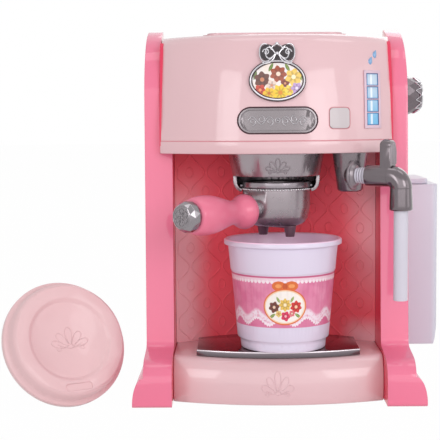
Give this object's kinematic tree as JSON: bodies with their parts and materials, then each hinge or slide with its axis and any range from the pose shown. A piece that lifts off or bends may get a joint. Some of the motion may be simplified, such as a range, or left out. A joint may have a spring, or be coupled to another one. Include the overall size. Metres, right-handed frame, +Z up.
{
  "type": "toy coffee maker",
  "caption": "Toy espresso maker with a bulged housing, pull-out filter handle, swinging steam wand, lift-off water tank, drip tray, cup and lid.",
  "frame": {"origin": "on the floor at the middle of the machine, on the underside of its base", "axes": "+Z up, +Y towards the rear of the machine, +X towards the side with the tank and the steam wand"},
  "size_m": [0.302, 0.1859, 0.2529],
  "materials": {
    "pink_panel": "moulded deep pink plastic, satin gloss",
    "light_pink": "moulded light pink plastic, soft gloss",
    "wall_pink": "embossed light pink plastic",
    "grip_pink": "glossy pink plastic",
    "silver_grey": "silver-grey pearl plastic",
    "bright_silver": "vacuum-metallised plastic",
    "lavender": "pale lavender plastic",
    "tank_clear": "translucent milky plastic",
    "tube_white": "white plastic",
    "button_grey": "pale grey plastic",
    "indicator_white": "white printed plastic",
    "indicator_blue": "blue translucent windows",
    "print": "printed disc under a clear coat",
    "rubber": "soft rubber",
    "steel": "zinc-plated steel",
    "contact_brass": "plated contact strip",
    "board_green": "glass-fibre board",
    "dark_plastic": "black plastic",
    "cell_wrap": "wrapped dry cell",
    "lamp_clear": "clear lamp dome",
    "box_white": "plain moulded plastic"
  },
  "bodies": {
    "machine": {"side_panel_left": "pink_panel", "side_panel_right": "pink_panel", "housing_shell": "light_pink", "trim_band": "light_pink", "top_deck": "light_pink", "rear_cover": "light_pink", "back_wall": "wall_pink", "base_housing": "light_pink", "base_pan": "light_pink", "foot_pads": "rubber", "badge_frame": "bright_silver", "badge_insert": "print", "name_plate": "bright_silver", "indicator_frame": "indicator_white", "indicator_bars": "indicator_blue", "group_head": "silver_grey", "filter_collar": "silver_grey", "wand_boss": "silver_grey", "wand_collar": "silver_grey", "wand_sleeve": "tube_white", "tank_bracket": "light_pink", "battery_box": "box_white", "battery_door": "light_pink", "door_screw": "steel", "batteries": "cell_wrap", "battery_contacts": "contact_brass", "circuit_board": "board_green", "speaker": "dark_plastic", "lamps": "lamp_clear", "button_spring": "steel", "panel_screws": "steel"},
    "knob": {"steam_knob": "silver_grey", "knob_cap": "bright_silver", "knob_shaft": "steel"},
    "filter_carrier": {"basket_ring": "bright_silver"},
    "filter_handle": {"filter_bowl": "silver_grey", "twin_spout": "silver_grey", "handle_ferrule": "bright_silver", "handle_grip": "grip_pink", "handle_cap": "bright_silver"},
    "button": {"push_button": "button_grey"},
    "wand": {"wand_elbow": "silver_grey", "wand_tube": "tube_white"},
    "tank": {"water_tank": "tank_clear"},
    "tank_cover": {"tank_lid": "tank_clear"},
    "tray": {"drip_tray": "silver_grey"},
    "drinking_cup": {"cup": "lavender"},
    "loose_lid": {"cup_lid": "light_pink"},
    "switch": {"power_switch": "dark_plastic"}
  },
  "joints": [
    {"name": "knob_turn", "type": "hinge", "parent": "machine", "child": "knob", "pos_m": [0.09, -0.01, 0.2052], "axis": [1, 0, 0], "continuous": true},
    {"name": "filter_slide", "type": "slide", "parent": "machine", "child": "filter_carrier", "axis": [0, -1, 0], "range_m": [0, 0.065]},
    {"name": "handle_swing", "type": "hinge", "parent": "filter_carrier", "child": "filter_handle", "pos_m": [0, -0.0335, 0.1283], "axis": [0, 0, 1], "range_deg": [0, 43]},
    {"name": "button_press", "type": "slide", "parent": "machine", "child": "button", "axis": [0, 1, 0], "range_m": [0, 0.0025], "stiffness_N_per_m": 300, "springref_m": -0.001},
    {"name": "wand_swing", "type": "hinge", "parent": "machine", "child": "wand", "pos_m": [0.0445, -0.0518, 0.1518], "axis": [0.866, -0.5, 0], "range_deg": [-30, 20]},
    {"name": "tank_lift", "type": "slide", "parent": "machine", "child": "tank", "axis": [0, 0, 1], "range_m": [0, 0.08]},
    {"name": "tank_lid_lift", "type": "slide", "parent": "tank", "child": "tank_cover", "axis": [0, 0, 1], "range_m": [0, 0.03]},
    {"name": "tray_slide", "type": "slide", "parent": "machine", "child": "tray", "axis": [0, -1, 0], "range_m": [0, 0.055]},
    {"name": "cup_slide", "type": "slide", "parent": "tray", "child": "drinking_cup", "axis": [0, -1, 0], "range_m": [0, 0.09]},
    {"name": "lid_lift", "type": "slide", "parent": "machine", "child": "loose_lid", "axis": [0, 0, 1], "range_m": [0, 0.06]},
    {"name": "power_slide", "type": "slide", "parent": "machine", "child": "switch", "axis": [1, 0, 0], "range_m": [0, 0.006]}
  ]
}
